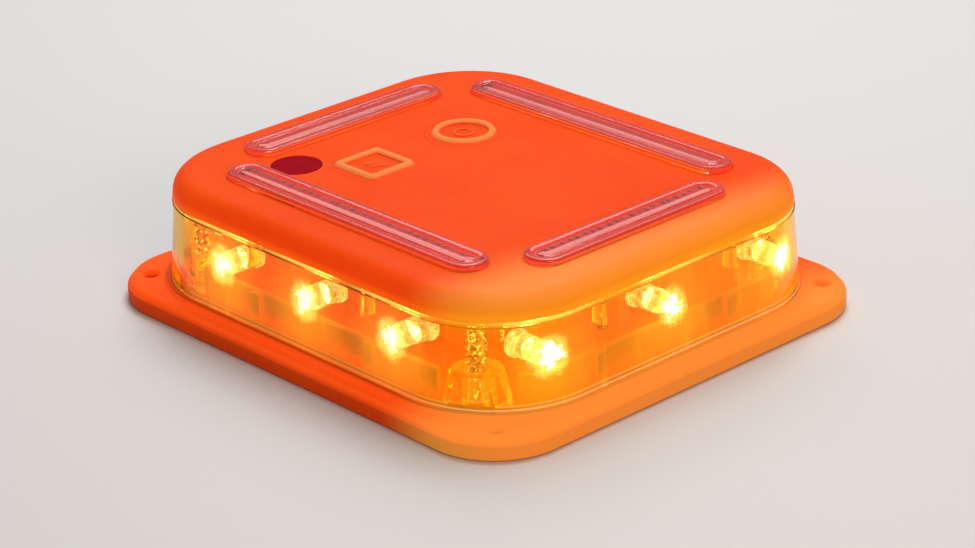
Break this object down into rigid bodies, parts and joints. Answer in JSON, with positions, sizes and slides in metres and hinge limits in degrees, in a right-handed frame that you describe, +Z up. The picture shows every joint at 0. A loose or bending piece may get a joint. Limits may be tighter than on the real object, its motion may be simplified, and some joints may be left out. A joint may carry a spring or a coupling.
{
  "type": "led hazard flare",
  "caption": "Low rectangular warning light: orange tray and cap around a clear amber lens ring of LEDs, with clear light bars on top and two push buttons.",
  "frame": {"origin": "centre of the footprint, on the ground plane that the underside rests on", "axes": "+Z up through the cap, +X along the long side towards the end without buttons, +Y across"},
  "size_m": [0.12, 0.107, 0.0293],
  "materials": {
    "orange": "satin moulded orange-red plastic with a fine grain",
    "amber_lens": "clear amber polycarbonate",
    "clear_bar": "clear polished acrylic over an orange cap",
    "sensor_tint": "dark crimson filter plastic",
    "seal_rubber": "amber silicone cord",
    "board": "white solder mask on glass-fibre laminate",
    "black_plastic": "black moulded component plastic",
    "led_resin": "clear amber epoxy",
    "steel": "bright zinc-plated or nickel-plated steel",
    "cell_jacket": "plain blue shrink jacket with bare metal ends"
  },
  "bodies": {
    "housing": {"base_tray": "orange", "top_cap": "orange", "battery_door": "orange", "lens_ring": "amber_lens", "light_bar_front": "clear_bar", "light_bar_rear": "clear_bar", "light_bar_left": "clear_bar", "light_bar_right": "clear_bar", "sensor_window": "sensor_tint", "lower_gasket": "seal_rubber", "upper_gasket": "seal_rubber", "battery_door_seal": "seal_rubber", "main_board": "board", "light_strip_front": "board", "light_strip_rear": "board", "light_strip_left": "board", "light_strip_right": "board", "power_switch": "black_plastic", "mode_switch": "black_plastic", "light_sensor": "black_plastic", "controller_chip": "black_plastic", "power_inductor": "black_plastic", "led_front_1": "led_resin", "led_front_2": "led_resin", "led_front_3": "led_resin", "led_right_1": "led_resin", "led_right_2": "led_resin", "led_right_3": "led_resin", "led_rear_1": "led_resin", "led_rear_2": "led_resin", "led_rear_3": "led_resin", "led_left_1": "led_resin", "led_left_2": "led_resin", "led_left_3": "led_resin", "reservoir_capacitor": "steel", "case_screw_1": "steel", "case_screw_2": "steel", "case_screw_3": "steel", "case_screw_4": "steel", "board_screw_1": "steel", "board_screw_2": "steel", "board_screw_3": "steel", "board_screw_4": "steel", "door_screw_1": "steel", "door_screw_2": "steel", "contact_positive": "steel", "contact_negative": "steel", "contact_link": "steel", "battery_cell_1": "cell_jacket", "battery_cell_2": "cell_jacket"},
    "power_key": {"power_button": "orange"},
    "mode_key": {"mode_button": "orange"},
    "power_plunger": {"power_switch_plunger": "black_plastic"},
    "mode_plunger": {"mode_switch_plunger": "black_plastic"}
  },
  "joints": [
    {"name": "power_press", "type": "slide", "parent": "housing", "child": "power_key", "axis": [0, 0, -1], "range_m": [0, 0.0006], "stiffness_N_per_m": 1500},
    {"name": "power_plunger_travel", "type": "slide", "parent": "housing", "child": "power_plunger", "axis": [0, 0, -1], "range_m": [0, 0.0003]},
    {"name": "mode_press", "type": "slide", "parent": "housing", "child": "mode_key", "axis": [0, 0, -1], "range_m": [0, 0.0006], "stiffness_N_per_m": 1500},
    {"name": "mode_plunger_travel", "type": "slide", "parent": "housing", "child": "mode_plunger", "axis": [0, 0, -1], "range_m": [0, 0.0003]}
  ],
  "couplings": [
    {"joint": "power_plunger_travel", "follows": "power_press", "ratio": 0.5},
    {"joint": "mode_plunger_travel", "follows": "mode_press", "ratio": 0.5}
  ]
}
